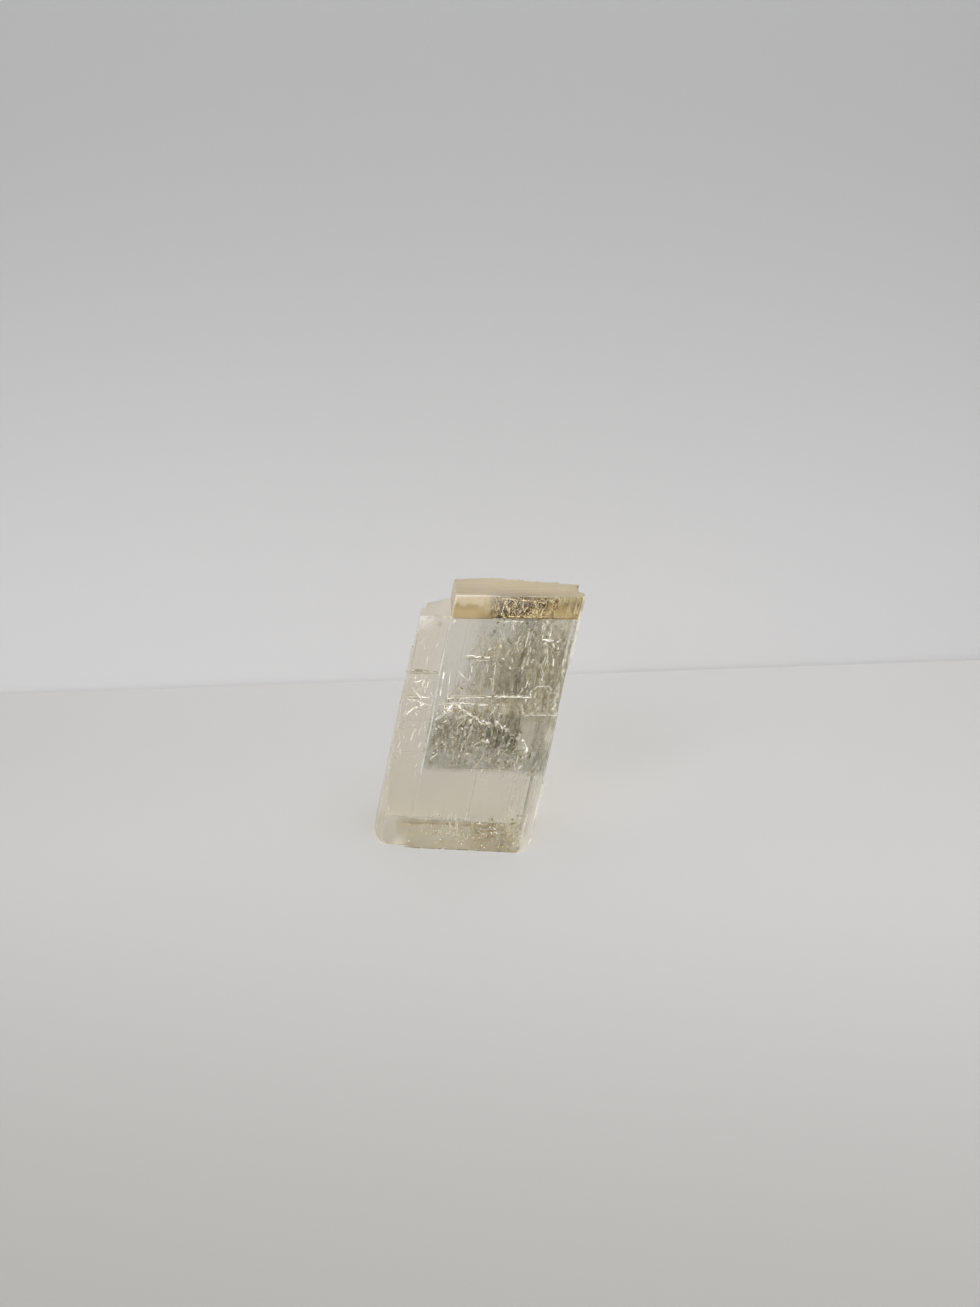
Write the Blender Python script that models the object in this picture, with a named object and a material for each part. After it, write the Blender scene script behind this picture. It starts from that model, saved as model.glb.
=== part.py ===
"""Optical calcite: one clear cleavage block, standing on its base face.

Metres, +Z up. The block is bounded by the three cleavage directions of calcite, which meet at
101.9 and 78.1 degrees, so it leans to the right and away from its front face. X runs along the
front face's lower edge, Y runs from the front face to the back, and the origin is on the base
plane, under the middle of the block's outline.

Places on the block are given along its own edges, as (u, v, w) in millimetres: u runs to the
right, v runs to the back and w runs up the leaning edges, all from the front left corner of the
base.
"""

import math
import random

import bmesh
import bpy
from mathutils import Matrix, Vector

MM = 0.001

# Driving dimensions
CLEAVAGE_ANGLE = math.radians(101.9)  # obtuse angle between two edges of one cleavage face
HEIGHT = 78.0  # base plane to top face, upright, mm
WIDTH = 51.0  # along the front face's lower edge, mm
DEPTH = 29.0  # along the base's side edges, at its deepest, mm

STRIP_WIDTH = 10.8  # left strip of the front face, which lies a little further back
STRIP_SETBACK = 1.5
LAYER_THICKNESS = 7.0  # top layer, along the leaning edges
LAYER_LEFT = 10.0  # where the top layer is broken off and leaves a ledge
RIGHT_BACK = 24.6  # depth of the block's right third, where a thick plate has come off the back
CRACK_GAP = 0.25  # width of the cleavage cracks that stand open

EDGE_LEAN = -math.cos(CLEAVAGE_ANGLE)
SEED = 41
OVER = 3.0  # how far a cutter runs past the block


def crystal_axes():
    """Directions of the block's three edges: along the front, to the back and up."""
    along = Vector((1.0, 0.0, 0.0))
    back = Vector((-EDGE_LEAN, math.sqrt(1.0 - EDGE_LEAN**2), 0.0))
    up_x = EDGE_LEAN
    up_y = (EDGE_LEAN + EDGE_LEAN**2) / back.y
    up = Vector((up_x, up_y, math.sqrt(1.0 - up_x**2 - up_y**2)))
    return along, back, up


ALONG, BACK, UP = crystal_axes()
LENGTH = HEIGHT / UP.z  # of the leaning edges
LAYER_FLOOR = LENGTH - LAYER_THICKNESS


def place(u, v, w):
    """Position in metres, from the base's front left corner, of a point given as (u, v, w)."""
    return (ALONG * u + BACK * v + UP * w) * MM


def cleavage_matrix(low, high):
    """Matrix that turns a unit cube into the block between two corners given as (u, v, w)."""
    centre = place(*((a + b) / 2 for a, b in zip(low, high)))
    u, v, w = ((b - a) * MM for a, b in zip(low, high))
    columns = Matrix((ALONG * u, BACK * v, UP * w)).transposed().to_4x4()
    return Matrix.Translation(centre) @ columns


def new_object(name, bm, collection):
    mesh = bpy.data.meshes.new(name)
    bm.to_mesh(mesh)
    bm.free()
    obj = bpy.data.objects.new(name, mesh)
    collection.objects.link(obj)
    return obj


def cleavage_block(name, low, high, collection, turn=None):
    """Block with faces along the three cleavages, turned a little about its middle if asked."""
    bm = bmesh.new()
    bmesh.ops.create_cube(bm, size=1.0, matrix=cleavage_matrix(low, high))
    if turn is not None:
        middle = place(*((a + b) / 2 for a, b in zip(low, high)))
        bmesh.ops.rotate(bm, verts=bm.verts, cent=middle, matrix=turn)
    return new_object(name, bm, collection)


def shell_scoop(name, centre, radii, facing, collection):
    """Flattened ball that leaves a shallow, shell-like fracture; facing is its short axis."""
    bm = bmesh.new()
    turn = Vector(facing).to_track_quat("Z", "Y").to_matrix().to_4x4()
    size = Matrix.Diagonal((radii[0] * MM, radii[1] * MM, radii[2] * MM, 1.0))
    matrix = Matrix.Translation(place(*centre)) @ turn @ size
    bmesh.ops.create_icosphere(bm, subdivisions=3, radius=1.0, matrix=matrix)
    return new_object(name, bm, collection)


def cleave_off(plates, cutters):
    """One cutter for each missing plate, given by its lowest and highest corner."""
    for name, (low, high) in plates.items():
        cleavage_block(name, low, high, cutters)


def cut_front(cutters):
    """Left strip set back in three lifts, and thin plates missing from the front face."""
    cleave_off({
        "strip_low": ((-OVER, -OVER, -OVER), (STRIP_WIDTH, STRIP_SETBACK + 0.4, 31.0)),
        "strip_mid": ((-OVER, -OVER, 30.0), (STRIP_WIDTH - 0.5, STRIP_SETBACK, 57.0)),
        "strip_high": ((-OVER, -OVER, 56.0), (STRIP_WIDTH - 1.1, STRIP_SETBACK - 0.3, LAYER_FLOOR + 1.0)),
        "front_window": ((40.2, -OVER, 63.5), (44.6, 0.5, 73.0)),
        "front_plate": ((43.1, -OVER, 47.3), (WIDTH + OVER, 0.3, 51.6)),
        "front_sliver": ((22.4, -OVER, 59.2), (31.0, 0.25, 61.3)),
    }, cutters)


def cut_top(cutters):
    """Broken left end of the top layer, and the lower back part of the top face."""
    beyond = (WIDTH + OVER, DEPTH + OVER, LENGTH + OVER)
    cleave_off({
        "left_ledge": ((-OVER, -OVER, LAYER_FLOOR), (LAYER_LEFT, DEPTH + OVER, LENGTH + OVER)),
        "top_back": ((-OVER, 17.2, LENGTH - 0.5), beyond),
    }, cutters)


def cut_back(cutters):
    """Plates that have cleaved off the back face, each ending in a ledge."""
    right = WIDTH + OVER
    reach = DEPTH + OVER
    top = LENGTH + OVER
    cleave_off({
        "back_right": ((33.8, RIGHT_BACK, -OVER), (right, reach, top)),
        "back_upper_right": ((45.2, 20.2, 66.2), (right, reach, top)),
        "back_upper_mid": ((39.2, 22.6, 60.4), (right, reach, top)),
        "back_top_mid": ((27.4, 26.7, 70.8), (right, reach, top)),
        "back_low_left": ((-OVER, 27.6, -OVER), (34.4, reach, 30.6)),
        "back_plate_left": ((-OVER, 27.2, 49.2), (13.8, reach, top)),
        "back_plate_mid": ((20.2, 28.4, 41.0), (34.4, reach, 71.5)),
        "back_right_groove": ((38.6, RIGHT_BACK - 0.5, 16.8), (41.8, reach, 48.2)),
        "back_right_plate": ((44.6, RIGHT_BACK - 0.9, 24.2), (right, reach, 56.8)),
    }, cutters)


def cut_sides(cutters):
    """Long flutes and missing plates on the right and left faces."""
    right = WIDTH + OVER
    top = LENGTH + OVER
    cleave_off({
        "right_flute_front": ((50.3, -OVER, 22.5), (right, 2.6, 61.0)),
        "right_flute_mid": ((49.7, 6.2, 9.4), (right, 9.8, top)),
        "right_flute_back": ((50.2, 13.3, -OVER), (right, 19.2, 57.4)),
        "right_plate_low": ((49.2, 19.0, -OVER), (right, DEPTH + OVER, 33.6)),
        "right_plate_high": ((50.0, 9.0, 58.2), (right, 16.4, top)),
        "left_flute_front": ((-OVER, 5.4, 31.8), (0.7, 9.4, 64.2)),
        "left_flute_back": ((-OVER, 15.1, 24.5), (1.1, 21.6, 57.3)),
        "left_plate_high": ((-OVER, 12.6, 58.6), (1.8, DEPTH + OVER, top)),
    }, cutters)


def cut_cracks(cutters):
    """Cleavage cracks that stand open at the front, left or right face.

    Each is given by its level on the axis it crosses and by the two corners of its outline, in
    (u, v) where it is level, (v, w) where it runs to the back and (u, w) where it follows the
    front. The long ones step from one plane to the next.
    """
    right = WIDTH + OVER
    level = {
        "layer_crack_left": (LAYER_FLOOR - 0.28, (11.2, -OVER), (24.3, 15.6)),
        "layer_crack_mid": (LAYER_FLOOR - 0.14, (23.4, -OVER), (38.9, 21.4)),
        "layer_crack_right": (LAYER_FLOOR - 0.26, (38.1, -OVER), (right, 17.7)),
        "front_crack_left": (49.86, (14.3, -OVER), (30.2, 2.2)),
        "front_crack_mid": (49.98, (29.5, -OVER), (41.3, 3.1)),
        "front_crack_low": (47.6, (11.9, -OVER), (31.6, 1.7)),
        "front_crack_right": (44.6, (39.6, -OVER), (right, 2.6)),
        "front_crack_high": (62.4, (17.9, -OVER), (25.4, 2.4)),
        "window_crack": (68.4, (40.1, -OVER), (46.8, 3.0)),
        "strip_crack_high": (57.6, (-OVER, -OVER), (9.3, 3.4)),
        "strip_crack_low": (48.6, (-OVER, -OVER), (7.6, 3.8)),
    }
    to_back = {
        "standing_crack_left": (38.4, (-OVER, 28.6), (7.8, 46.5)),
        "standing_crack_mid": (41.1, (-OVER, 52.4), (19.5, 71.8)),
        "standing_crack_right": (46.9, (-OVER, 29.4), (12.2, 66.7)),
    }
    along_front = {
        "side_crack_front": (5.7, (30.2, 31.5), (right, 58.0)),
        "side_crack_mid": (12.6, (33.4, 43.8), (right, 72.6)),
        "side_crack_back": (19.4, (37.6, 36.4), (right, 66.2)),
    }
    half = CRACK_GAP / 2
    for name, (w, low, high) in level.items():
        cleavage_block(name, (*low, w - half), (*high, w + half), cutters)
    for name, (u, low, high) in to_back.items():
        cleavage_block(name, (u - half, *low), (u + half, *high), cutters)
    for name, (v, low, high) in along_front.items():
        cleavage_block(name, (low[0], v - half, low[1]), (high[0], v + half, high[1]), cutters)


def flat_break(name, one, other, run, out, collection):
    """Oblique face through one and the other point and along run; out leads off the block.

    All four are (u, v, w). The cutter reaches a little past both points.
    """
    corner, across, along, away = (place(*vector) for vector in (
        one, [b - a for a, b in zip(one, other)], run, out,
    ))
    columns = Matrix((across * 1.2, along, away)).transposed().to_4x4()
    centre = corner + (across + along + away) / 2
    bm = bmesh.new()
    bmesh.ops.create_cube(bm, size=1.0, matrix=Matrix.Translation(centre) @ columns)
    bmesh.ops.recalc_face_normals(bm, faces=bm.faces)
    return new_object(name, bm, collection)


def cut_breaks(cutters):
    """Oblique flat breaks along the strip's edges and at the base's corners."""
    strip_out = (-2.0, -2.0, 0.0)
    base_out = (-7.0, 0.0, -7.0)
    right_out = (5.0, 0.0, -6.0)
    breaks = {
        "strip_edge_low": ((11.3, 0.0, 13.0), (STRIP_WIDTH, 0.6, 13.0), (0.0, 0.0, 19.0), strip_out),
        "strip_edge_mid": ((11.4, 0.0, 27.0), (10.2, 1.0, 27.0), (-0.4, 0.0, 33.0), strip_out),
        "strip_edge_high": ((10.4, 0.0, 54.0), (9.7, 0.6, 54.0), (0.0, 0.0, 18.0), strip_out),
        "strip_side": ((0.55, 1.4, 16.0), (0.0, 2.3, 16.0), (0.0, 0.0, 54.0), strip_out),
        "base_left_bevel": ((3.0, 1.9, -0.5), (0.0, 5.0, -0.5), (-2.4, 0.4, 26.0), (-4.0, -4.0, 0.0)),
        "base_left_steep": ((3.0, -1.0, 0.0), (0.0, -1.0, 4.2), (-2.4, 14.0, -0.4), base_out),
        "base_left_low": ((6.4, -1.0, 0.0), (0.0, -1.0, 1.9), (-4.0, 12.0, -0.3), base_out),
        "base_right_low": ((46.4, -1.0, 0.0), (WIDTH, -1.0, 2.1), (3.2, 8.0, -0.3), right_out),
        "base_right_steep": ((49.0, -1.0, 0.0), (WIDTH, -1.0, 5.2), (1.8, 7.0, -0.4), right_out),
    }
    for name, (one, other, run, out) in breaks.items():
        flat_break(name, one, other, run, out, cutters)


def cut_corners(cutters):
    """Corners that are broken across the cleavages, with shell-like fractures."""
    scoops = {
        "corner_base_left": ((-3.4, 24.6, 0.4), (5.6, 4.8, 4.2), (-0.7, 0.5, -0.45)),
        "corner_ledge_front": ((-1.7, 0.4, LAYER_FLOOR + 1.1), (2.6, 2.2, 1.8), (-0.6, -0.5, 0.6)),
        "corner_ledge_back": ((-1.0, 25.5, LAYER_FLOOR), (13.0, 10.5, 7.4), (-0.62, 0.74, 0.26)),
        "corner_base_back": ((WIDTH + 1.0, RIGHT_BACK + 1.0, -0.6), (4.6, 4.0, 2.8), (0.6, 0.7, -0.4)),
        "corner_top_back": ((WIDTH + 0.5, 20.5, LENGTH + 0.4), (4.4, 4.0, 2.6), (0.5, 0.5, 0.7)),
    }
    for name, (centre, radii, facing) in scoops.items():
        shell_scoop(name, centre, radii, facing, cutters)


def nick_edge(name, start, end, count, reach, rng, cutters):
    """Small stepped nicks along one edge, from start to end as (u, v, w)."""
    start, end = Vector(start), Vector(end)
    run = end - start
    axis = max(range(3), key=lambda i: abs(run[i]))
    for number in range(count):
        middle = start + run * rng.uniform(0.04, 0.96)
        half = [reach * rng.uniform(0.35, 1.0) * rng.choice((0.5, 1.0)) for _ in range(3)]
        half[axis] *= rng.uniform(1.6, 4.5)
        low = [m - h for m, h in zip(middle, half)]
        high = [m + h for m, h in zip(middle, half)]
        spin_axis = Vector([rng.uniform(-1.0, 1.0) for _ in range(3)]).normalized()
        turn = Matrix.Rotation(math.radians(rng.uniform(-9.0, 9.0)), 3, spin_axis)
        cleavage_block(f"{name}_{number:02d}", low, high, cutters, turn)


def cut_edges(cutters):
    """Nicked edges, most of them round the base and the top."""
    rng = random.Random(SEED)
    edges = {
        "nick_base_front": ((9.0, 0.0, 0.0), (46.0, 0.0, 0.0), 6, 0.7),
        "nick_base_back": ((4.0, DEPTH - 1.4, 0.0), (33.0, DEPTH - 1.4, 0.0), 5, 0.6),
        "nick_base_right": ((WIDTH, 3.0, 0.0), (WIDTH, 24.0, 0.0), 4, 0.8),
        "nick_base_side": ((0.0, 8.0, 0.0), (0.0, 24.0, 0.0), 4, 0.8),
        "nick_right_front": ((WIDTH, 0.0, 4.0), (WIDTH, 0.0, 80.0), 9, 0.6),
        "nick_left_front": ((0.0, STRIP_SETBACK, 9.0), (0.0, STRIP_SETBACK, 72.0), 8, 0.6),
        "nick_strip": ((STRIP_WIDTH, 0.0, 6.0), (STRIP_WIDTH - 1.0, 0.0, 74.0), 7, 0.45),
        "nick_top_front": ((12.0, 0.0, LENGTH), (49.0, 0.0, LENGTH), 6, 0.5),
        "nick_top_left": ((LAYER_LEFT, 2.0, LENGTH), (LAYER_LEFT, 26.0, LENGTH), 4, 0.8),
        "nick_top_right": ((WIDTH, 2.0, LENGTH), (WIDTH, 20.0, LENGTH), 4, 0.9),
        "nick_top_back": ((14.0, DEPTH, LENGTH - 0.5), (28.0, DEPTH, LENGTH - 0.5), 5, 0.9),
        "nick_top_steps": ((31.0, 26.0, LENGTH - 0.5), (47.0, 21.0, LENGTH - 0.5), 6, 1.0),
        "nick_back_left": ((0.0, DEPTH - 1.4, 4.0), (0.0, DEPTH - 1.4, 70.0), 7, 0.9),
        "nick_back_step": ((33.8, DEPTH, 32.0), (33.8, DEPTH, 68.0), 5, 0.8),
        "nick_back_right": ((WIDTH, RIGHT_BACK, 6.0), (WIDTH, RIGHT_BACK, 62.0), 7, 0.9),
        "nick_ledge_front": ((2.0, STRIP_SETBACK, LAYER_FLOOR), (9.0, STRIP_SETBACK, LAYER_FLOOR), 3, 0.6),
    }
    for name, (start, end, count, reach) in edges.items():
        nick_edge(name, start, end, count, reach, rng, cutters)


def calcite_material():
    """Clear calcite, with the faint honey tinge of iron stain."""
    material = bpy.data.materials.new("clear_calcite")
    material.use_nodes = True
    shader = material.node_tree.nodes["Principled BSDF"]
    shader.inputs["Base Color"].default_value = (0.78, 0.71, 0.56, 1.0)
    shader.inputs["Roughness"].default_value = 0.06
    shader.inputs["Metallic"].default_value = 0.0
    shader.inputs["IOR"].default_value = 1.6
    shader.inputs["Transmission Weight"].default_value = 1.0
    return material


def set_origin_under_middle(crystal, pieces):
    """Move everything, on one empty, so that the origin lies under the middle of the outline."""
    evaluated = crystal.evaluated_get(bpy.context.evaluated_depsgraph_get())
    corners = [Vector(corner) for corner in evaluated.bound_box]
    low = Vector([min(corner[axis] for corner in corners) for axis in range(3)])
    high = Vector([max(corner[axis] for corner in corners) for axis in range(3)])
    middle = (low + high) / 2
    holder = bpy.data.objects.new("origin_under_middle", None)
    bpy.context.scene.collection.objects.link(holder)
    holder.location = (-middle.x, -middle.y, -low.z)
    for piece in pieces:
        piece.parent = holder


def main():
    for obj in list(bpy.data.objects):
        bpy.data.objects.remove(obj)
    parts = bpy.data.collections.new("optical_calcite")
    cutters = bpy.data.collections.new("cutters")
    for collection in (parts, cutters):
        bpy.context.scene.collection.children.link(collection)

    crystal = cleavage_block("calcite_crystal", (0.0, 0.0, 0.0), (WIDTH, DEPTH, LENGTH), parts)
    crystal.data.materials.append(calcite_material())
    cut_front(cutters)
    cut_top(cutters)
    cut_back(cutters)
    cut_sides(cutters)
    cut_cracks(cutters)
    cut_breaks(cutters)
    cut_corners(cutters)
    cut_edges(cutters)
    for cutter in cutters.objects:
        cutter.hide_render = True
        cutter.display_type = "WIRE"
        cut = crystal.modifiers.new(cutter.name, "BOOLEAN")
        cut.operation = "DIFFERENCE"
        cut.solver = "EXACT"
        cut.object = cutter
    set_origin_under_middle(crystal, [crystal, *cutters.objects])


main()
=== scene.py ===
import math
import random

import bmesh
import bpy
from mathutils import Matrix, Vector, noise
from mathutils.bvhtree import BVHTree


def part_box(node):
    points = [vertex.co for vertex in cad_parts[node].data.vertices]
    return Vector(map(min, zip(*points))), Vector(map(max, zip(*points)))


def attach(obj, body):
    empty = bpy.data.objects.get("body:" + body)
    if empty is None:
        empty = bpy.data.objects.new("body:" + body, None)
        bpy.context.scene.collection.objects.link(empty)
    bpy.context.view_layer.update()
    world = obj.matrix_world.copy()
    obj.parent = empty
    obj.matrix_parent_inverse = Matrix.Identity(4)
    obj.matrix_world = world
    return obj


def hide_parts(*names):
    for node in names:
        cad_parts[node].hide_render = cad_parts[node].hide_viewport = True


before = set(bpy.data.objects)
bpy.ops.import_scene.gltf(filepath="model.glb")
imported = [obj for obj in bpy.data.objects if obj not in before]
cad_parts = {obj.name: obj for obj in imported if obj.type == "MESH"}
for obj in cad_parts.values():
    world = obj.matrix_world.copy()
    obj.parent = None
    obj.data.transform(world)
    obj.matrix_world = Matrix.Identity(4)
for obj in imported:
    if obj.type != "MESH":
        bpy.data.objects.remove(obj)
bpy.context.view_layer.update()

MM = 0.001
SEED = 7

# Calcite's cleavage: the block's three edge directions, as unit vectors
EDGE_LEAN = -math.cos(math.radians(101.9))
ALONG = Vector((1.0, 0.0, 0.0))
BACK = Vector((-EDGE_LEAN, math.sqrt(1.0 - EDGE_LEAN**2), 0.0))
UP_Y = (EDGE_LEAN + EDGE_LEAN**2) / BACK.y
UP = Vector((EDGE_LEAN, UP_Y, math.sqrt(1.0 - EDGE_LEAN**2 - UP_Y**2)))

# The block along those edges, in mm from its front left corner: u right, v back, w up
BLOCK_LOW, BLOCK_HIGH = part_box("calcite_crystal")
WIDTH = 51.0
LENGTH = (BLOCK_HIGH.z - BLOCK_LOW.z) / MM / UP.z
STRIP_WIDTH = 10.8
LAYER_LEFT = 10.0
LAYER_FLOOR = LENGTH - 7.0
BACK_STEP = 33.8  # the back face lies further forward to the right of this
BACK_LEFT, BACK_RIGHT = 29.0, 24.6
CORNER = Vector((BLOCK_HIGH.x, BLOCK_LOW.y, BLOCK_LOW.z)) - Vector((WIDTH + LENGTH * UP.x, 0, 0)) * MM
TO_EDGES = Matrix((ALONG * MM, BACK * MM, UP * MM)).transposed().inverted()

# Camera, from the photograph's perspective, fitted to the block's edges
PHOTO_SIZE = (980, 1307)
FOCAL_PIXELS = 1000.0
CAMERA_FROM_STRIP = (78.6, -280.6, 151.6)  # from the lower end of the strip's inner edge, mm
CAMERA_TURN = math.radians(9.8)
CAMERA_PITCH = math.radians(16.8)
CAMERA_ROLL = math.radians(-2.0)
WALL_AHEAD = 463.0  # backdrop, from the camera along its heading, mm
PAPER_WIDTH, FLOOR_DEPTH, WALL_HEIGHT = 3.0, 2.0, 1.8  # metres

CLEAR_WINDOW = (39.7, 49.6, 32.0, 44.4)  # sound part of the fractured right half: u and w from and to
DIP_RIGHT, DIP_DOWN = 0.17, 0.32  # how far the fractures run right and down for each mm back
SLIVER_FACING = Vector((-0.04, -0.923, 0.383))  # slivers part nearly parallel to the front face
ARCH_CREST = (17.5, 47.0)  # top of the arch that the fractures make on the front: u and w
CRACK_AIR = 0.03  # thickness of the air in a closed crack, mm
SLIVER_THICKNESS = 0.06
ALONG_CLEAVAGE = 0.99  # cosine from which a face counts as one of the cleavage faces
CALCITE_IOR = 1.6  # between calcite's two
AIR_IN_CALCITE = 1.0 / CALCITE_IOR


def place(u, v, w):
    """Position in metres of a point given along the block's edges in mm."""
    return CORNER + (ALONG * u + BACK * v + UP * w) * MM


def heading(azimuth):
    return Vector((-math.sin(azimuth), math.cos(azimuth), 0.0))


def make_camera():
    data = bpy.data.cameras.new("camera")
    data.sensor_width = 36.0
    data.lens = FOCAL_PIXELS / max(PHOTO_SIZE) * data.sensor_width
    data.clip_start, data.clip_end = 0.01, 20.0
    forward = heading(CAMERA_TURN) * math.cos(CAMERA_PITCH) - Vector((0, 0, math.sin(CAMERA_PITCH)))
    level = Vector((math.cos(CAMERA_TURN), math.sin(CAMERA_TURN), 0.0))
    upright = level.cross(forward)
    right = level * math.cos(CAMERA_ROLL) + upright * math.sin(CAMERA_ROLL)
    upward = upright * math.cos(CAMERA_ROLL) - level * math.sin(CAMERA_ROLL)
    turn = Matrix((right, upward, -forward)).transposed().to_4x4()
    camera = bpy.data.objects.new("camera", data)
    eye = place(STRIP_WIDTH, 0, 0) + Vector(CAMERA_FROM_STRIP) * MM
    camera.matrix_world = Matrix.Translation(eye) @ turn
    bpy.context.scene.collection.objects.link(camera)
    bpy.context.scene.camera = camera
    return eye


def linear(hex_colour):
    """sRGB hex colour as linear RGBA."""
    values = [int(hex_colour[i : i + 2], 16) / 255 for i in (1, 3, 5)]
    return (*(v / 12.92 if v <= 0.04045 else ((v + 0.055) / 1.055) ** 2.4 for v in values), 1.0)


def add_node(tree, kind, inputs=None, **settings):
    """Node with its settings. An input is a value, another node's output, or a node for its first output."""
    node = tree.nodes.new(kind)
    for name, value in settings.items():
        setattr(node, name, value)
    for name, value in (inputs or {}).items():
        if isinstance(value, bpy.types.Node):
            value = value.outputs[0]
        if isinstance(value, bpy.types.NodeSocket):
            tree.links.new(value, node.inputs[name])
        else:
            node.inputs[name].default_value = value
    return node


def new_material(name):
    material = bpy.data.materials.new(name)
    material.use_nodes = True
    material.node_tree.nodes.clear()
    return material, material.node_tree


def block_coordinates(tree):
    """Object coordinates turned to (u, v, w) along the block's edges, in mm."""
    where = add_node(tree, "ShaderNodeTexCoord")
    spot = where.outputs["Object"]
    from_corner = add_node(tree, "ShaderNodeVectorMath", {0: spot, 1: CORNER}, operation="SUBTRACT")
    along = []
    for row in TO_EDGES:
        dot = add_node(tree, "ShaderNodeVectorMath", {0: from_corner, 1: row}, operation="DOT_PRODUCT")
        along.append(dot.outputs["Value"])
    joined = add_node(tree, "ShaderNodeCombineXYZ", {axis: along[axis] for axis in range(3)})
    return joined, along


def clear_calcite():
    """Calcite as cleaved: clear and glossy on the fresh faces, frosted on the weathered top and the breaks.

    The faces carry their own roughness and haze. The eye sees faint milky fibres, hairline cracks
    between them in the fractured right half, given an olive painted shade, and crushed white edges,
    and iron stain makes the top layer honey yellow. Grey painted shade darkens the fractured arch.
    """
    material, tree = new_material("clear_calcite_cleaved")
    uvw, (u, v, w) = block_coordinates(tree)
    finish = add_node(tree, "ShaderNodeAttribute", attribute_name="face_roughness").outputs["Fac"]
    face_haze = add_node(tree, "ShaderNodeAttribute", attribute_name="face_haze").outputs["Fac"]

    # The fractures dip to the back and right, as to_front has it
    across = add_node(tree, "ShaderNodeMath", {0: v, 1: -DIP_RIGHT, 2: u}, operation="MULTIPLY_ADD")
    height = add_node(tree, "ShaderNodeMath", {0: v, 1: DIP_DOWN, 2: w}, operation="MULTIPLY_ADD")
    strip_line = add_node(tree, "ShaderNodeMapRange", {
        0: w, 1: 42.0, 2: 57.0, 3: STRIP_WIDTH + 0.2, 4: STRIP_WIDTH - 0.7,
    })
    off_strip = add_node(tree, "ShaderNodeMath", {0: u, 1: strip_line}, operation="SUBTRACT")
    from_strip = add_node(tree, "ShaderNodeMath", {0: off_strip}, operation="ABSOLUTE")

    # Zones, each a product of ramps: what a ramp runs along, where it starts and ends in mm, and its
    # values there
    left, right, sill, head = CLEAR_WINDOW
    into_layer = (w, LAYER_FLOOR - 0.15, LAYER_FLOOR + 0.1, 0.0, 1.0)
    front_skin = (v, 1.8, 2.2, 1.0, 0.0)
    zone = {}
    for name, ramps in (
        ("layer", (into_layer,)),
        ("front", (front_skin,)),
        # where the block is fractured, and the arch, where the painted shade is deeper
        ("right_half", ((across, 18.0, 36.0, 0.05, 0.7), (height, 22.0, 42.0, 0.08, 1.0))),
        ("arch", (
            (height, 25.0, 27.5, 0.0, 1.0), (height, 41.5, 46.0, 1.0, 0.0), (across, 10.9, 11.3, 0.0, 1.0),
        )),
        ("window", (
            (across, left, left + 0.4, 0.0, 1.0), (across, right, right + 1.0, 1.0, 0.0),
            (height, sill, sill + 2.0, 0.0, 1.0), (height, head - 0.2, head, 1.0, 0.0),
        )),
        ("over_arch", (
            (across, 16.0, 26.0, 0.0, 0.75), (across, 36.0, 42.0, 1.0, 0.3), (height, 47.0, 54.0, 0.0, 1.0),
        )),
        # the strip's inner and outer edges
        ("inner_edge", (
            (w, 22.0, 26.0, 0.0, 1.0), (w, 60.0, 68.0, 1.0, 0.55),
            (from_strip, 0.16, 0.34, 1.0, 0.0), (v, 1.2, 1.6, 1.0, 0.0),
        )),
        ("outer_edge", ((u, 0.2, 0.7, 0.6, 0.0), (v, 2.4, 4.0, 1.0, 0.12))),
        # corners: the ledge's left one and both ends of the base
        ("ledge_corner", ((u, 1.5, 6.5, 0.85, 0.0), (w, 70.5, 74.5, 0.0, 1.0))),
        ("left_foot", ((u, 1.5, 3.2, 0.6, 0.0), (w, 8.0, 20.0, 1.0, 0.0))),
        ("right_foot", ((u, 45.5, 49.5, 0.0, 0.45), (w, 10.0, 42.0, 1.0, 0.1))),
        # the top layer's stained middle, and the milky front to the left of it
        ("middle", ((u, 21.5, 25.5, 0.0, 1.0), (u, 38.0, 46.0, 1.0, 0.75))),
        ("milky_front", ((u, 17.0, 25.0, 0.85, 0.0), into_layer, front_skin)),
    ):
        share, *others = [
            add_node(tree, "ShaderNodeMapRange", {0: value, 1: start, 2: end, 3: low, 4: high})
            for value, start, end, low, high in ramps
        ]
        for other in others:
            share = add_node(tree, "ShaderNodeMath", {0: share, 1: other}, operation="MULTIPLY")
        zone[name] = share
    in_layer, arch_zone = zone["layer"], zone["arch"]
    either = add_node(tree, "ShaderNodeMath", {0: zone["right_half"], 1: arch_zone}, operation="MAXIMUM")
    unclear = add_node(tree, "ShaderNodeMapRange", {0: zone["window"], 3: 1.0, 4: 0.2})
    fractured = add_node(tree, "ShaderNodeMath", {0: either, 1: unclear}, operation="MULTIPLY")

    # Patterns by their size to the right, back and up, in mm: milky fibres, hairline cracks, patches
    # where those crowd, iron stain's clouds, the top's streaks and broad cleavage waves
    pattern = {}
    for name, size, settings in (
        ("fibres", (1.0, 1.0, 4.0), {"Detail": 5.0, "Roughness": 0.65, "Distortion": 0.6}),
        ("hairs", (0.6, 0.8, 2.4), {"Detail": 4.0, "Roughness": 0.7, "Distortion": 0.5}),
        ("patches", (4.0, 4.0, 7.0), {"Detail": 3.0}),
        ("clouds", (9.0, 9.0, 5.0), {"Detail": 3.0}),
        ("streaks", (16.0, 1.4, 5.0), {"Detail": 4.0}),
        ("waves", (3.0, 3.0, 30.0), {"Detail": 2.0}),
    ):
        repeats = [1 / length for length in size]
        scaled = add_node(tree, "ShaderNodeMapping", {"Vector": uvw, "Scale": repeats})
        pattern[name] = add_node(tree, "ShaderNodeTexNoise", {"Vector": scaled, "Scale": 1.0, **settings})

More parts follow.
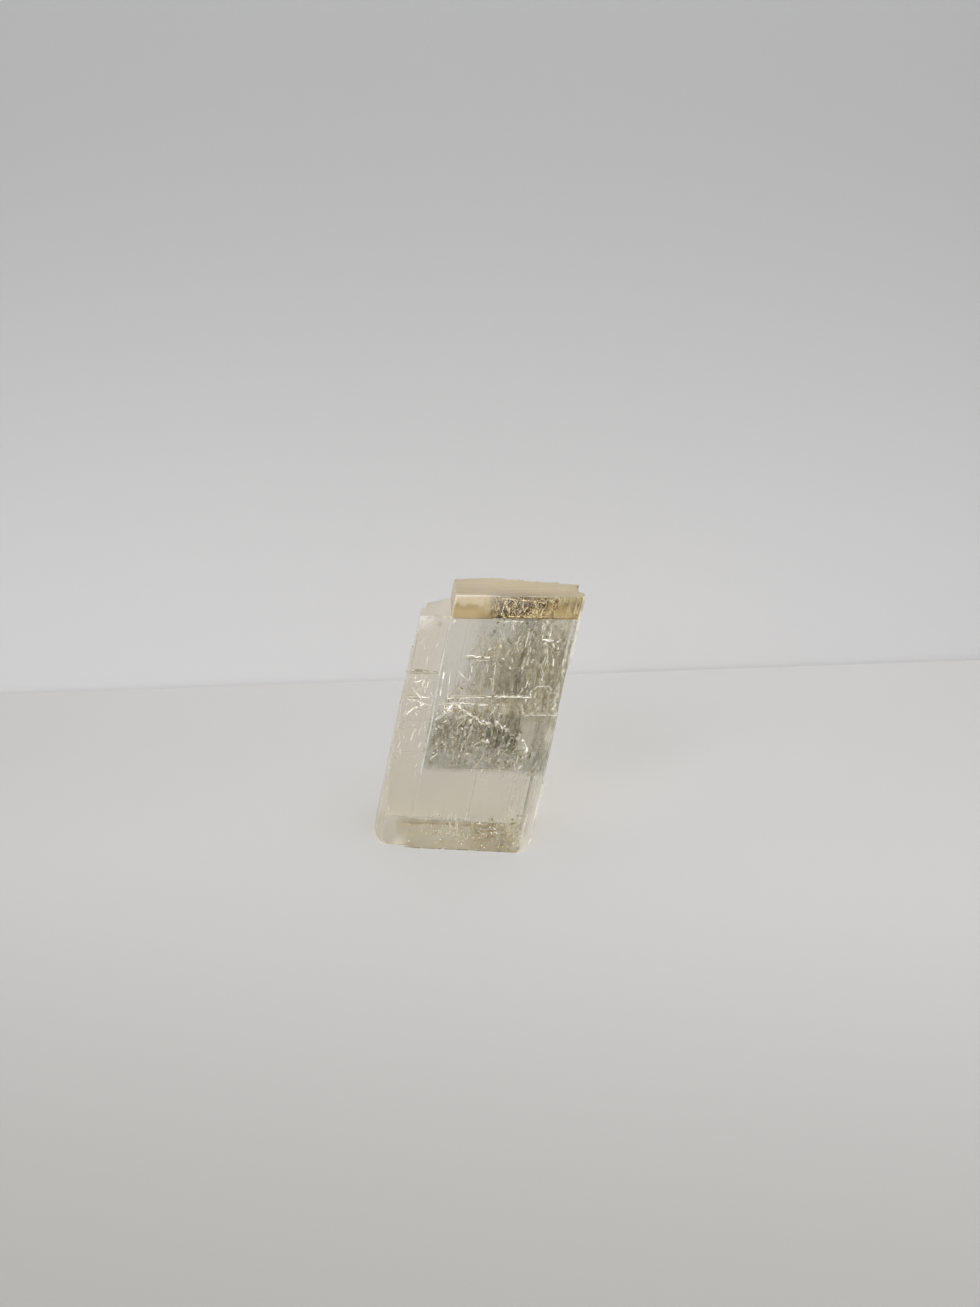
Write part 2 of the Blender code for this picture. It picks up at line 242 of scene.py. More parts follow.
    cracked = add_node(tree, "ShaderNodeMapRange", {0: pattern["hairs"], 1: 0.5, 2: 0.6})
    patches = pattern["patches"]
    crowded = add_node(tree, "ShaderNodeMapRange", {0: patches, 1: 0.35, 2: 0.62, 3: 0.25})
    crack_here = add_node(tree, "ShaderNodeMath", {0: cracked, 1: crowded}, operation="MULTIPLY")
    crack_tint = add_node(tree, "ShaderNodeMath", {0: crack_here, 1: fractured}, operation="MULTIPLY")
    fibres = pattern["fibres"]
    milky = add_node(tree, "ShaderNodeMapRange", {0: fibres, 1: 0.54, 2: 0.64, 4: 0.4})
    right_margin = add_node(tree, "ShaderNodeMapRange", {0: u, 1: 43.0, 2: 50.0, 4: 1.3})
    fibrous = add_node(tree, "ShaderNodeMath", {0: fractured, 1: right_margin}, operation="MAXIMUM")
    under_layer = add_node(tree, "ShaderNodeMapRange", {0: in_layer, 3: 1.0, 4: 0.1})
    fibrous_below = add_node(tree, "ShaderNodeMath", {0: fibrous, 1: under_layer}, operation="MULTIPLY")
    milky_here = add_node(tree, "ShaderNodeMath", {0: milky, 1: fibrous_below}, operation="MULTIPLY")

    # Crushed white edge, 0.5 mm wide, down the front's right side, round the strip and along the top
    near_front = add_node(tree, "ShaderNodeMapRange", {0: v, 1: 0.5, 2: 0.9, 3: 1.0, 4: 0.0})
    near_right = add_node(tree, "ShaderNodeMapRange", {0: u, 1: WIDTH - 1.1, 2: WIDTH - 0.75})
    near_crest = add_node(tree, "ShaderNodeMapRange", {0: w, 1: LENGTH - 0.4, 2: LENGTH - 0.2, 4: 0.5})
    right_edge = add_node(tree, "ShaderNodeMath", {0: near_right, 1: near_crest}, operation="MAXIMUM")
    front_edge = add_node(tree, "ShaderNodeMath", {0: right_edge, 1: near_front}, operation="MULTIPLY")
    strip_edges = {0: zone["inner_edge"], 1: zone["outer_edge"]}
    strip_edge = add_node(tree, "ShaderNodeMath", strip_edges, operation="MAXIMUM")
    edge = add_node(tree, "ShaderNodeMath", {0: front_edge, 1: strip_edge}, operation="MAXIMUM")
    worn = add_node(tree, "ShaderNodeMapRange", {0: patches, 1: 0.3, 2: 0.6, 3: 0.25, 4: 0.85})
    worn_edge = add_node(tree, "ShaderNodeMath", {0: edge, 1: worn}, operation="MULTIPLY")

    # Frosted corners on the front
    both_feet = {0: zone["left_foot"], 1: zone["right_foot"]}
    feet = add_node(tree, "ShaderNodeMath", both_feet, operation="MAXIMUM")
    corners = add_node(tree, "ShaderNodeMath", {0: zone["ledge_corner"], 1: feet}, operation="MAXIMUM")
    frost = add_node(tree, "ShaderNodeMath", {0: corners, 1: zone["front"]}, operation="MULTIPLY")
    edge_haze = add_node(tree, "ShaderNodeMath", {0: worn_edge, 1: frost}, operation="MAXIMUM")

    # Iron stain, over the top layer's sides and the weathered top
    clouds = pattern["clouds"]
    honey = add_node(tree, "ShaderNodeMixRGB", {0: clouds, 1: linear("#D9C498"), 2: linear("#CEB383")})
    # The honey turns darker towards the top of the layer
    to_top = add_node(tree, "ShaderNodeMapRange", {0: w, 1: LAYER_FLOOR + 2.0, 2: LAYER_FLOOR + 4.0})
    deep_honey = add_node(tree, "ShaderNodeMixRGB", {0: to_top, 1: honey, 2: linear("#BDA878")})
    on_left = add_node(tree, "ShaderNodeMapRange", {0: u, 1: 9.5, 2: 10.6, 3: 1.0, 4: 0.0})
    pale = add_node(tree, "ShaderNodeMixRGB", {0: on_left, 1: linear("#F4F1E8"), 2: linear("#F9F2E5")})
    rusty = add_node(tree, "ShaderNodeMixRGB", {0: zone["middle"], 1: deep_honey, 2: linear("#E3D298")})
    stained = add_node(tree, "ShaderNodeMixRGB", {0: in_layer, 1: pale, 2: rusty})
    frosted = add_node(tree, "ShaderNodeMapRange", {0: face_haze, 1: 0.1, 2: 0.3})
    near_top = add_node(tree, "ShaderNodeMapRange", {0: w, 1: LAYER_FLOOR - 1.5, 2: LAYER_FLOOR - 0.5})
    weathered_top = add_node(tree, "ShaderNodeMath", {0: frosted, 1: near_top}, operation="MULTIPLY")
    streaky = add_node(tree, "ShaderNodeMapRange", {0: pattern["streaks"], 1: 0.36, 2: 0.64})
    browned = add_node(tree, "ShaderNodeMixRGB", {0: streaky, 1: linear("#F4EAD5"), 2: linear("#E9D7B3")})
    weathered = add_node(tree, "ShaderNodeMixRGB", {0: on_left, 1: browned, 2: linear("#FBF5E8")})
    body = add_node(tree, "ShaderNodeMixRGB", {0: weathered_top, 1: stained, 2: weathered})
    # Painted shade in the hairline cracks of the fractured part: olive, deeper in the arch; in the layer they
    # take brown iron stain instead
    crack_shade_olive = add_node(tree, "ShaderNodeMixRGB", {0: arch_zone, 1: linear("#BAB6A2"), 2: linear("#8F8B74")})
    crack_shade_and_stain = add_node(tree, "ShaderNodeMixRGB", {0: in_layer, 1: crack_shade_olive, 2: linear("#9A7B45")})
    # Painted shade: a patchy grey over the arch and the part above it, fainter in the sound window, and not
    # in the top layer
    painted_shade_zone = add_node(tree, "ShaderNodeMath", {0: arch_zone, 1: zone["over_arch"]}, operation="MAXIMUM")
    shade_patches = add_node(tree, "ShaderNodeMath", {0: crowded, 1: 0.55}, operation="MAXIMUM")
    painted_shade_here = add_node(tree, "ShaderNodeMath", {0: painted_shade_zone, 1: shade_patches}, operation="MULTIPLY")
    painted_shade_share = add_node(tree, "ShaderNodeMath", {0: painted_shade_here, 1: unclear}, operation="MULTIPLY")
    painted_shade_colour = add_node(tree, "ShaderNodeMixRGB", {0: painted_shade_share, 1: body, 2: linear("#ACAC9E")})
    shaded_below_layer = add_node(tree, "ShaderNodeMixRGB", {0: in_layer, 1: painted_shade_colour, 2: body})
    off_top = add_node(tree, "ShaderNodeMapRange", {0: weathered_top, 3: 1.0, 4: 0.2})
    tint = add_node(tree, "ShaderNodeMath", {0: crack_tint, 1: off_top}, operation="MULTIPLY")
    with_cracks = add_node(tree, "ShaderNodeMixRGB", {0: tint, 1: shaded_below_layer, 2: crack_shade_and_stain})
    milk = add_node(tree, "ShaderNodeMath", {0: milky_here, 1: 1.6}, operation="MULTIPLY")
    whitened = add_node(tree, "ShaderNodeMath", {0: milk, 1: edge_haze}, operation="ADD")
    white_share = add_node(tree, "ShaderNodeMath", {0: whitened, 1: 1.0}, operation="MINIMUM")
    colour = add_node(tree, "ShaderNodeMixRGB", {0: white_share, 1: with_cracks, 2: linear("#FFFDF4")})

    # Gloss and clearness broken up by the fibres
    fibre_gloss = add_node(tree, "ShaderNodeMapRange", {0: fibres, 1: 0.35, 2: 0.7, 3: 0.0, 4: 0.05})
    uneven = add_node(tree, "ShaderNodeMath", {0: fibre_gloss, 1: fibrous}, operation="MULTIPLY")
    roughness = add_node(tree, "ShaderNodeMath", {0: finish, 1: uneven}, operation="ADD")
    milk_shares = {0: milky_here, 1: zone["milky_front"]}
    milkiness = add_node(tree, "ShaderNodeMath", milk_shares, operation="MAXIMUM")
    veiled = add_node(tree, "ShaderNodeMath", {0: face_haze, 1: milkiness}, operation="ADD")
    haze = add_node(tree, "ShaderNodeMath", {0: veiled, 1: edge_haze}, operation="MAXIMUM")
    clear = add_node(tree, "ShaderNodeMath", {0: 1.0, 1: haze}, operation="SUBTRACT")

    # Relief of the fibres and the cleavage waves
    fibre_relief = add_node(tree, "ShaderNodeMath", {0: pattern["hairs"], 1: fractured}, operation="MULTIPLY")
    waves = pattern["waves"]
    relief = add_node(tree, "ShaderNodeMath", {0: waves, 1: 0.7, 2: fibre_relief}, operation="MULTIPLY_ADD")
    bump = add_node(tree, "ShaderNodeBump", {"Strength": 0.5, "Distance": 0.12 * MM, "Height": relief})

    shader = add_node(tree, "ShaderNodeBsdfPrincipled", {
        "Base Color": colour, "Roughness": roughness, "IOR": CALCITE_IOR,
        "Transmission Weight": clear, "Normal": bump,
    })
    lamp_light = add_node(tree, "ShaderNodeBsdfTransparent", {"Color": linear("#FBFAF7")})
    shadow_ray = add_node(tree, "ShaderNodeLightPath").outputs["Is Shadow Ray"]
    surface = add_node(tree, "ShaderNodeMixShader", {0: shadow_ray, 1: shader, 2: lamp_light})
    tinge = add_node(tree, "ShaderNodeVolumeAbsorption", {"Color": linear("#C5C2AC"), "Density": 11.0})
    add_node(tree, "ShaderNodeOutputMaterial", {"Surface": surface, "Volume": tinge})
    return material


def air_gap(name, pale, deep, roughness, period, relief=0.5):
    """Air in a cleavage crack, seen from the calcite round it: a silvery sheet at low angles.

    Period is the size in mm, along the block's edges, of its stain's clouds; its ripples are a
    quarter of that.
    """
    material, tree = new_material(name)
    uvw, _ = block_coordinates(tree)
    repeats = [1 / length for length in period]
    cloud_scale = add_node(tree, "ShaderNodeMapping", {"Vector": uvw, "Scale": repeats})
    clouds = add_node(tree, "ShaderNodeTexNoise", {
        "Vector": cloud_scale, "Scale": 1.0, "Detail": 4.0, "Roughness": 0.6,
    })
    ripples = add_node(tree, "ShaderNodeTexNoise", {"Vector": cloud_scale, "Scale": 4.0, "Detail": 3.0})
    bump = add_node(tree, "ShaderNodeBump", {"Strength": relief, "Distance": 0.1 * MM, "Height": ripples})
    spread = add_node(tree, "ShaderNodeMapRange", {0: clouds, 1: 0.38, 2: 0.66})
    colour = add_node(tree, "ShaderNodeMixRGB", {0: spread, 1: linear(pale), 2: linear(deep)})
    shader = add_node(tree, "ShaderNodeBsdfGlass", {
        "Color": colour, "Roughness": roughness, "IOR": AIR_IN_CALCITE, "Normal": bump,
    })
    lamp_light = add_node(tree, "ShaderNodeBsdfTransparent")
    shadow_ray = add_node(tree, "ShaderNodeLightPath").outputs["Is Shadow Ray"]
    surface = add_node(tree, "ShaderNodeMixShader", {0: shadow_ray, 1: shader, 2: lamp_light})
    add_node(tree, "ShaderNodeOutputMaterial", {"Surface": surface})
    return material


def crushed_calcite(name, bright, dull, metallic, specular=0.5):
    """Crushed calcite on fracture edges: air round each grain throws back all light, like silver.

    Slivers differ in tone from place to place, as some face the light and others are dulled by clay.
    """
    material, tree = new_material(name)
    uvw, _ = block_coordinates(tree)
    grain_scale = add_node(tree, "ShaderNodeMapping", {"Vector": uvw, "Scale": (1 / 1.1, 1 / 1.1, 1 / 1.1)})
    grains = add_node(tree, "ShaderNodeTexNoise", {"Vector": grain_scale, "Scale": 1.0, "Detail": 2.0})
    dulled = add_node(tree, "ShaderNodeMapRange", {0: grains, 1: 0.52, 2: 0.62})
    colour = add_node(tree, "ShaderNodeMixRGB", {0: dulled, 1: linear(bright), 2: linear(dull)})
    roughness = add_node(tree, "ShaderNodeMapRange", {0: grains, 1: 0.3, 2: 0.7, 3: 0.35, 4: 0.55})
    shader = add_node(tree, "ShaderNodeBsdfPrincipled", {
        "Base Color": colour, "Roughness": roughness, "Metallic": metallic, "Specular IOR Level": specular,
    })
    add_node(tree, "ShaderNodeOutputMaterial", {"Surface": shader})
    return material


def matte_paper(name, near, far, axis, start, end):
    """Smooth matte paper sweep, its colour a little darker away from the lamp: painted shade."""
    material, tree = new_material(name)
    where = add_node(tree, "ShaderNodeTexCoord")
    split = add_node(tree, "ShaderNodeSeparateXYZ", {0: where.outputs["Object"]})
    reach = {0: split.outputs[axis], 1: start, 2: end}
    away = add_node(tree, "ShaderNodeMapRange", reach, interpolation_type="SMOOTHSTEP")
    colour = add_node(tree, "ShaderNodeMixRGB", {0: away, 1: linear(near), 2: linear(far)})
    shader = add_node(tree, "ShaderNodeBsdfPrincipled", {"Base Color": colour, "Roughness": 0.85})
    add_node(tree, "ShaderNodeOutputMaterial", {"Surface": shader})
    return material


def new_piece(name, bm, material):
    mesh = bpy.data.meshes.new(name)
    bm.to_mesh(mesh)
    bm.free()
    mesh.materials.append(material)
    piece = bpy.data.objects.new(name, mesh)
    bpy.context.scene.collection.objects.link(piece)
    return piece


def make_stage(eye):
    ahead = heading(CAMERA_TURN)
    side = Vector((math.cos(CAMERA_TURN), math.sin(CAMERA_TURN), 0.0))
    up = Vector((0, 0, 1))
    floor_drop = 0.15 * MM
    foot = Vector((eye.x, eye.y, -floor_drop)) + ahead * WALL_AHEAD * MM
    # Painted shade on the paper: the floor darkens towards the front, the backdrop towards its top
    floor_paper = matte_paper("studio_floor_paper", "#D7D6D6", "#B2B0AE", 1, -0.02, -0.25)
    wall_paper = matte_paper("studio_backdrop_paper", "#ECECEE", "#C3C4C7", 2, 0.0, 0.3)
    floor_middle = foot - ahead * FLOOR_DEPTH / 2
    wall_middle = foot + up * WALL_HEIGHT / 2
    # Painted shade at the backdrop's foot: a thin strip, darker at the crease with the floor
    edge_height = 2.4 * MM
    edge_middle = foot + up * edge_height / 2 - ahead * 0.2 * MM
    crease_shade_paper = matte_paper("backdrop_crease_shade_paper", "#E1E1E3", "#ECECEE", 2, 0.0, edge_height)
    for name, centre, across, along, size, paper in (
        ("studio_floor", floor_middle, side, ahead, (PAPER_WIDTH, FLOOR_DEPTH), floor_paper),
        ("studio_backdrop", wall_middle, side, up, (PAPER_WIDTH, WALL_HEIGHT), wall_paper),
        ("backdrop_crease_shade", edge_middle, side, up, (PAPER_WIDTH, edge_height), crease_shade_paper),
    ):
        bm = bmesh.new()
        turn = Matrix((across, along, across.cross(along))).transposed().to_4x4()
        matrix = Matrix.Translation(centre) @ turn @ Matrix.Diagonal((size[0], size[1], 1.0, 1.0))
        bmesh.ops.create_grid(bm, x_segments=1, y_segments=1, size=0.5, matrix=matrix)
        new_piece(name, bm, paper)


def make_lights():
    world = bpy.data.worlds.new("studio_world")
    bpy.context.scene.world = world
    world.use_nodes = True
    background = world.node_tree.nodes["Background"]
    background.inputs["Color"].default_value = linear("#C4C6C8")
    background.inputs["Strength"].default_value = 0.5
    for name, spot, size, watts in (
        ("overhead_softbox", (0.22, 0.06, 0.75), (0.9, 0.6), 4.4),
        ("front_softbox", (-0.28, -0.75, 0.55), (0.5, 0.5), 3.4),
    ):
        data = bpy.data.lights.new(name, "AREA")
        data.shape = "RECTANGLE"
        data.size, data.size_y = size
        data.energy = watts
        data.color = linear("#FFFDF9")[:3]
        lamp = bpy.data.objects.new(name, data)
        aim = Vector((0.0, 0.0, 0.04)) - Vector(spot)
        lamp.matrix_world = Matrix.Translation(spot) @ aim.to_track_quat("-Z", "Y").to_matrix().to_4x4()
        bpy.context.scene.collection.objects.link(lamp)


def sheared_cube(bm, low, high):
    """Block between two corners given as (u, v, w) in mm."""
    centre = place(*((a + b) / 2 for a, b in zip(low, high)))
    u, v, w = ((b - a) * MM for a, b in zip(low, high))
    columns = Matrix((ALONG * u, BACK * v, UP * w)).transposed().to_4x4()
    bmesh.ops.create_cube(bm, size=1.0, matrix=Matrix.Translation(centre) @ columns)


def solid_tree():
    """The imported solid's faces, for asking how deep a point lies in it."""
    bm = bmesh.new()
    bm.from_mesh(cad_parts["calcite_crystal"].data)
    tree = BVHTree.FromBMesh(bm)
    bm.free()
    return tree


def in_calcite(u, v, w, margin=0.3):
    """Whether the point, in mm along the block's edges, is in the calcite and margin mm from any face."""
    point = place(u, v, w)
    nearest, normal, _, distance = SOLID.find_nearest(point)
    return distance > margin * MM and (point - nearest).dot(normal) < 0.0


def to_front(u, v, w):
    """Where the fracture through a point comes out on the front face, in u and w."""
    return u - DIP_RIGHT * v, w + DIP_DOWN * v


def in_window(u, v, w):
    """Whether the point is in the sound part of the fractured right half."""
    left, right, sill, head = CLEAR_WINDOW
    across, height = to_front(u, v, w)
    return left < across < right and sill < height < head


def back_at(u):
    return BACK_LEFT if u < BACK_STEP else BACK_RIGHT


def fine_plates(rng):
    """Low and high corners of the thin plates that have sprung off the faces."""
    over = 2.0
    plates = []
    for _ in range(40):  # back face, upright
        u, w = rng.uniform(1, 47), rng.uniform(2, 58)
        depth = back_at(u) - rng.uniform(0.1, 0.8)
        plates.append(((u, depth, w), (u + rng.uniform(0.5, 3.0), BACK_LEFT + over, w + rng.uniform(6, 32))))
    for _ in range(38):  # right face, upright
        v, w = rng.uniform(0.5, 22), rng.uniform(1, 66)
        low = (WIDTH - rng.uniform(0.1, 0.8), v, w)
        plates.append((low, (WIDTH + over, v + rng.uniform(0.4, 2.2), w + rng.uniform(5, 30))))
    for _ in range(16):  # left face, upright
        v, w = rng.uniform(2, 25), rng.uniform(6, 60)
        high = (rng.uniform(0.1, 0.5), v + rng.uniform(0.5, 2.4), w + rng.uniform(5, 24))
        plates.append(((-over, v, w), high))
    for _ in range(22):  # front face, fibrous part
        u, w = rng.uniform(24, 49), rng.uniform(26, 70)
        high = (u + rng.uniform(0.3, 1.6), rng.uniform(0.03, 0.14), w + rng.uniform(3, 16))
        plates.append(((u, -over, w), high))
    return plates


def face_finish(normal, centre):
    """Roughness and haze of one face, from the way it points and where it lies."""
    u, v, w = TO_EDGES @ (centre - CORNER)
    facings = [ALONG.cross(BACK), UP.cross(ALONG), BACK.cross(UP)]
    level, fore, side = (normal.dot(facing.normalized()) for facing in facings)
    if level > ALONG_CLEAVAGE and w > LAYER_FLOOR - 2.0:
        return 0.5, 0.32
    if side < -ALONG_CLEAVAGE and w > LAYER_FLOOR:
        return 0.35, 0.4
    if level < -ALONG_CLEAVAGE and w < 1.0:
        return 0.15, 0.0
    if max(abs(level), abs(fore), abs(side)) < ALONG_CLEAVAGE:
        if w > LAYER_FLOOR - 9.0:
            return (0.4, 0.75) if v < 12.0 or u > 40.0 else (0.3, 0.1)
        return (0.12, 0.05) if 9.0 < w and u > 5.0 else (0.34, 0.2)
    if fore > ALONG_CLEAVAGE:
        return 0.26, 0.0
    if fore < -ALONG_CLEAVAGE:
        return (0.08, 0.06) if u < STRIP_WIDTH else (0.02, 0.0)
    return 0.1, 0.0


def calcite_block(material):
    """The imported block, with the finer cleavage plates taken off its faces."""
    bm = bmesh.new()
    bm.from_mesh(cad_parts["calcite_crystal"].data)
    bmesh.ops.remove_doubles(bm, verts=bm.verts, dist=0.001 * MM)
    bmesh.ops.dissolve_limit(bm, angle_limit=math.radians(0.2), verts=bm.verts, edges=bm.edges)
    block = new_piece("calcite_block", bm, material)
    cutters = []
    for low, high in fine_plates(random.Random(SEED)):
        bm = bmesh.new()
        sheared_cube(bm, low, high)
        cutter = new_piece("plate", bm, material)
        cutters.append(cutter)
        cut = block.modifiers.new(cutter.name, "BOOLEAN")
        cut.operation, cut.solver, cut.object = "DIFFERENCE", "EXACT", cutter
    evaluated = block.evaluated_get(bpy.context.evaluated_depsgraph_get())
    finished = bpy.data.meshes.new_from_object(evaluated)
    block.modifiers.clear()
    block.data = finished
    for cutter in cutters:
        bpy.data.objects.remove(cutter)
    roughness = finished.attributes.new("face_roughness", "FLOAT", "FACE")
    haze = finished.attributes.new("face_haze", "FLOAT", "FACE")
    for face in finished.polygons:
        roughness.data[face.index].value, haze.data[face.index].value = face_finish(face.normal, face.center)
    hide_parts("calcite_crystal")
    place_on_body(block)


def place_on_body(piece):
    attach(piece, "root")


def inner_piece(name, bm, material):
    """Flaws of one kind inside the block."""
    place_on_body(new_piece(name, bm, material))


def ragged_sheet(bm, axes, level, beside, along, cell, outline=None, sound=None):
    """Closed thin slab across the first of three axes, such as "wvu", made of small cells.

    It reaches over beside on the second axis and along on the third, in mm, where outline is true of
    the shares of those two and sound is true of the point.
    """
    def point(row, column):
        spot = {
            axes[0]: level,
            axes[1]: beside[0] + row * (beside[1] - beside[0]),
            axes[2]: along[0] + column * (along[1] - along[0]),
        }
        return spot["u"], spot["v"], spot["w"]
    sheet = bmesh.new()
    rows = max(1, round((beside[1] - beside[0]) / cell[0]))
    columns = max(1, round((along[1] - along[0]) / cell[1]))
    bmesh.ops.create_grid(sheet, x_segments=columns, y_segments=rows, size=0.5)
    gone = []
    for face in sheet.faces:
        middle = face.calc_center_median()
        row, column = middle.y + 0.5, middle.x + 0.5
        if (outline and not outline(row, column)) or (sound and not sound(*point(row, column))):
            gone.append(face)
    bmesh.ops.delete(sheet, geom=gone, context="FACES")
    for vert in sheet.verts:
        vert.co = place(*point(vert.co.y + 0.5, vert.co.x + 0.5))
    bmesh.ops.recalc_face_normals(sheet, faces=sheet.faces)
    bmesh.ops.solidify(sheet, geom=sheet.faces[:], thickness=CRACK_AIR * MM)
    bmesh.ops.recalc_face_normals(sheet, faces=sheet.faces)
    mesh = bpy.data.meshes.new("sheet")
    sheet.to_mesh(mesh)
    sheet.free()
    bm.from_mesh(mesh)
    bpy.data.meshes.remove(mesh)


def stepped_outline(seed, start=0.15, end=0.15, steps=5.0):
    """Outline whose rows start and end in steps, at most start and end of the way in."""
    def keep(row, along):
        a = noise.noise(Vector((row * steps, seed * 3.7, 0.5))) * 0.5 + 0.5
        b = noise.noise(Vector((row * steps, seed * 3.7, 7.5))) * 0.5 + 0.5
        return start * a <= along <= 1.0 - end * b
    return keep


def streaky_patches(seed, across, along, share):
    """Islands that are long along the rows: their number over each side, and about how much they cover."""
    edge = stepped_outline(seed, 0.4, 0.4, across * 1.3)
    def keep(row, column):
        value = noise.noise(Vector((row * across, column * along, seed * 5.3)))
        value += 0.5 * noise.noise(Vector((row * across * 2.7, column * along * 1.6, seed * 9.1)))
        return edge(row, column) and value > 0.45 - 0.9 * share
    return keep


def layer_crack():
    """Cleavage crack under the stained top layer."""
    bm = bmesh.new()
    depth, across = (0.3, BACK_LEFT - 0.2), (LAYER_LEFT + 0.2, WIDTH - 0.3)
    def sound(u, v, w):
        return in_calcite(u, v, w + 0.5, 0.35)
    ragged_sheet(bm, "wvu", LAYER_FLOOR + 0.05, depth, across, (0.5, 0.5), sound=sound)
    # Air over iron stain: the layer's underside mirrors pale honey, deeper where the stain is thick
    stain = air_gap("iron_stained_air_gap", "#FDF8EA", "#F2E2BC", 0.05, (7.0, 14.0, 2.0), 0.15)
    inner_piece("top_layer_crack", bm, stain)


def base_film():
    """Stained crack just over the base face."""
    bm = bmesh.new()
    def sound(u, v, w):
        return in_calcite(u, v, 0.4)
    edge = stepped_outline(5, 0.04, 0.04, 7.0)
    ragged_sheet(bm, "wvu", 0.12, (0.5, 23.8), (8.6, WIDTH - 1.0), (0.5, 0.5), edge, sound)
    # Air over clay and iron stain: the base shows as a pale mirror with small cream clouds
    stain = air_gap("iron_stained_base_gap", "#FFFDF8", "#F4E9CF", 0.08, (4.0, 2.5, 2.0), 0.15)
    inner_piece("base_crack", bm, stain)


def base_stains():
    """Darker stain in the base crack: a fringe along its back edge, and mottles in its right third."""
    bm = bmesh.new()
    fringe = stepped_outline(23, 0.1, 0.1, 2.0)
    ragged_sheet(bm, "wvu", 0.6, (21.6, 23.6), (9.0, 47.0), (0.5, 0.7), fringe)
    mottles = streaky_patches(31, 11.0, 9.0, 0.45)
    front = stepped_outline(37, 0.7, 0.0, 8.0)
    def outline(row, column):
        return mottles(row, column) and front(column, row)
    ragged_sheet(bm, "wvu", 0.8, (3.5, 22.5), (32.0, 49.5), (0.6, 0.5), outline, in_calcite)
    # Thicker, duller stain: greyer cream, and less of a mirror than the crack below it
    stain = air_gap("iron_stained_fringe", "#F5F2E8", "#D3CEBC", 0.12, (3.0, 3.0, 2.0), 0.2)
    inner_piece("base_stains", bm, stain)


def level_cracks(air):
    """Short cleavage cracks parallel to the base."""
    bm = bmesh.new()
    for seed, (level, u0, u1, v0, v1) in enumerate((
        (58.7, 29.0, 39.0, 2.0, 4.6), (53.6, 41.0, 46.6, 0.6, 2.4), (30.6, 34.0, 46.0, 5.0, 8.0),
        (11.7, 44.2, 48.6, 0.4, 1.4), (66.0, 30.0, 37.0, 6.0, 9.0), (40.0, 20.0, 30.0, 7.0, 9.5),
        (35.6, 33.0, 44.0, 9.0, 12.0), (26.4, 14.0, 43.0, 0.9, 1.9),
    )):
        outline = stepped_outline(seed + 10, 0.2, 0.25, 3.0)
        ragged_sheet(bm, "wvu", level, (v0, v1), (u0, u1), (0.4, 0.5), outline)
    inner_piece("level_cracks", bm, air)


def standing_cracks(air):
    """Upright cleavage cracks that run from the front to the back."""
    bm = bmesh.new()
    for seed, (level, v0, v1, w0, w1) in enumerate((
        (35.2, 3.0, 14.0, 40.0, 74.0), (43.6, 0.4, 5.0, 46.0, 60.0), (45.4, 4.0, 22.0, 52.0, 74.0),
        (48.8, 2.0, 20.0, 52.0, 70.0), (30.6, 8.0, 19.0, 44.0, 70.0), (26.2, 9.0, 17.0, 28.0, 60.0),
        (20.4, 6.0, 12.0, 30.0, 48.0), (33.0, 1.0, 6.0, 26.0, 48.0), (28.4, 3.0, 9.0, 50.0, 72.0),
    )):
        outline = stepped_outline(seed + 40, 0.4, 0.4, 6.0)
        ragged_sheet(bm, "uvw", level, (v0, v1), (w0, w1), (0.5, 1.4), outline)
    inner_piece("standing_cracks", bm, air)


def fibrous_veils():
    """Upright cracks parallel to the front face, broken into long narrow islands."""
    bm = bmesh.new()
    def sound(u, v, w):
        return not in_window(u, v, w)
    for seed, (level, u0, u1, w0, w1, share) in enumerate((
        (1.6, 22.0, 49.0, 30.0, 75.0, 0.42), (3.2, 19.0, 48.0, 51.0, 75.0, 0.5),
        (4.4, 13.0, 47.0, 26.0, 47.0, 0.6), (5.9, 24.0, 49.5, 30.0, 60.0, 0.5),
        (9.0, 14.0, 44.0, 27.0, 48.0, 0.55), (12.8, 27.0, 49.0, 42.0, 75.0, 0.5),
        (16.5, 18.0, 46.0, 28.0, 56.0, 0.45), (20.6, 24.0, 48.0, 38.0, 70.0, 0.5),
    )):
        patches = streaky_patches(seed + 70, (u1 - u0) / 0.9, (w1 - w0) / 3.5, share)
        ragged_sheet(bm, "vuw", level, (u0, u1), (w0, w1), (0.3, 0.6), patches, sound)
    # Air in cracks that are broken into fibres: silky silver streaks, faintly cream
    veil = air_gap("air_gap_fibrous", "#FEFDFB", "#F2EFE8", 0.02, (0.5, 0.5, 1.6))
    inner_piece("fibrous_veils", bm, veil)


def fibre_channels(air):
    """Hair-thin upright air channels that make the right half fibrous."""
    rng = random.Random(SEED + 3)
    bm = bmesh.new()
    for _ in range(300):
        u = 50.0 - abs(rng.gauss(0, 11.0))
        w = rng.uniform(20, 73)
        if u < 14.0 or w + u < 56.0:
            continue
        v = rng.uniform(0.3, 20.0)
        if in_window(u, v, w + 3.0):
            continue
        width = rng.uniform(0.04, 0.16)
        length = min(rng.uniform(1.0, 6.0), LAYER_FLOOR - 1.0 - w)
        sheared_cube(bm, (u, v, w), (u + width, v + width * rng.uniform(0.6, 3.0), w + max(length, 1.0)))
    inner_piece("fibre_channels", bm, air)


